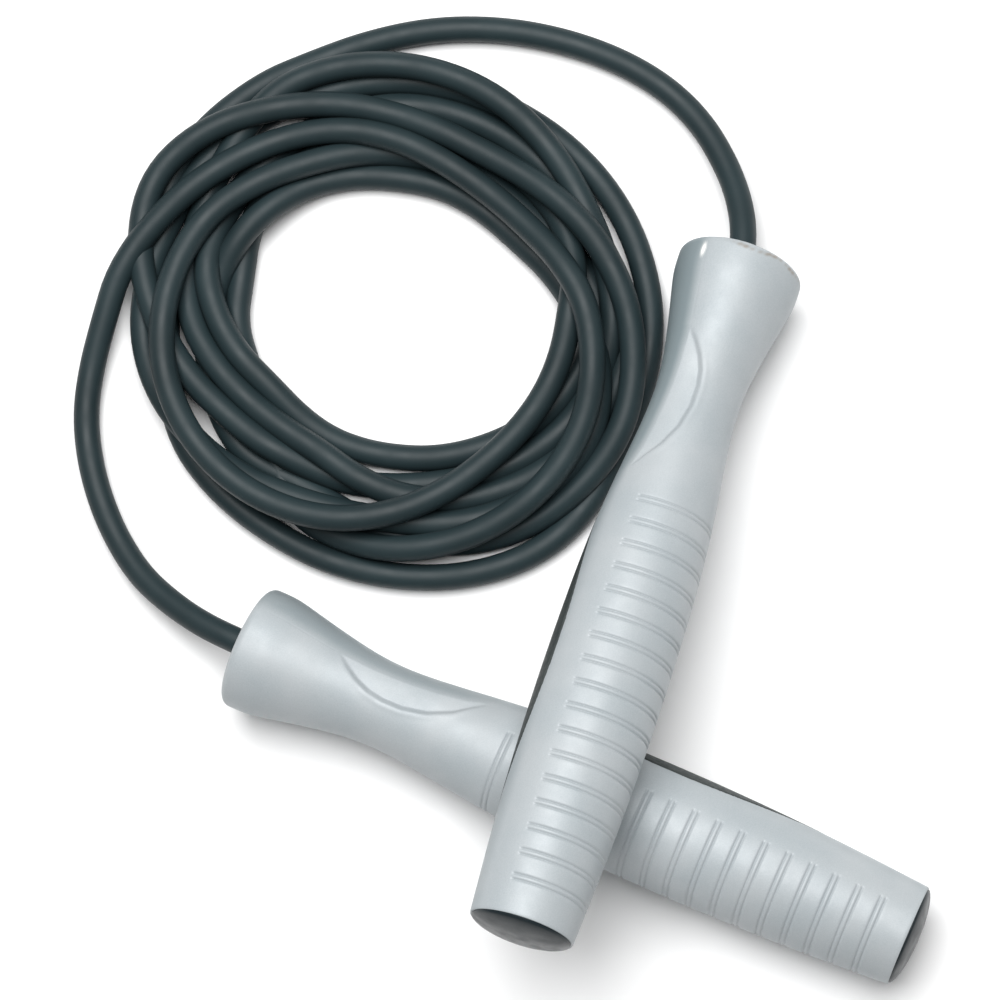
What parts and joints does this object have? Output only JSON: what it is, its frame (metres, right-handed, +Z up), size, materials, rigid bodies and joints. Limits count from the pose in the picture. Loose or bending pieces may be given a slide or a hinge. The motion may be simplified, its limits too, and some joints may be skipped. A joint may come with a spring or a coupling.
{
  "type": "jump rope",
  "caption": "Jump rope coiled in loose overlapping turns with two silver waisted grips crossed below it, each spinning on a bearing at the rope's end",
  "frame": {"origin": "centre of the two handles' common footprint, on the floor", "axes": "+X to the right of the picture, +Y away from the viewer past the crossed handles towards the coil, +Z up; the floor is z = 0"},
  "size_m": [0.2055, 0.2368, 0.0638],
  "materials": {
    "grip_silver": "satin silver-grey moulded plastic with faint flow marks",
    "grip_panel": "soft dark grey-green panel, matt",
    "tail_plug": "dark grey-green moulded plug",
    "bearing_steel": "ground bearing steel",
    "cage_brass": "pressed cage",
    "plain_steel": "zinc-plated steel",
    "ferrule_alloy": "crimped aluminium",
    "rope_cord": "smooth dark slate extruded cord with a soft sheen"
  },
  "bodies": {
    "rope": {"rope_lead_a": "rope_cord", "rope_coil": "rope_cord", "rope_lead_b": "rope_cord", "bearing_inner_a": "bearing_steel", "washer_a": "plain_steel", "ferrule_a": "ferrule_alloy", "bearing_inner_b": "bearing_steel", "washer_b": "plain_steel", "ferrule_b": "ferrule_alloy"},
    "handle_a": {"handle_a_shell": "grip_silver", "handle_a_inlay": "grip_panel", "handle_a_cap": "tail_plug", "bearing_outer_a": "bearing_steel", "bearing_balls_a": "bearing_steel", "bearing_cage_a": "cage_brass", "retainer_a": "plain_steel"},
    "handle_b": {"handle_b_shell": "grip_silver", "handle_b_inlay": "grip_panel", "handle_b_cap": "tail_plug", "bearing_outer_b": "bearing_steel", "bearing_balls_b": "bearing_steel", "bearing_cage_b": "cage_brass", "retainer_b": "plain_steel"}
  },
  "joints": [
    {"name": "handle_a_spin", "type": "hinge", "parent": "rope", "child": "handle_a", "pos_m": [0.0401, 0.0822, 0.01438], "axis": [-0.285, -0.9323, 0.2227], "continuous": true},
    {"name": "handle_b_spin", "type": "hinge", "parent": "rope", "child": "handle_b", "pos_m": [-0.0772, -0.0067, 0.01501], "axis": [0.9128, -0.4083, -0.0045], "continuous": true}
  ]
}
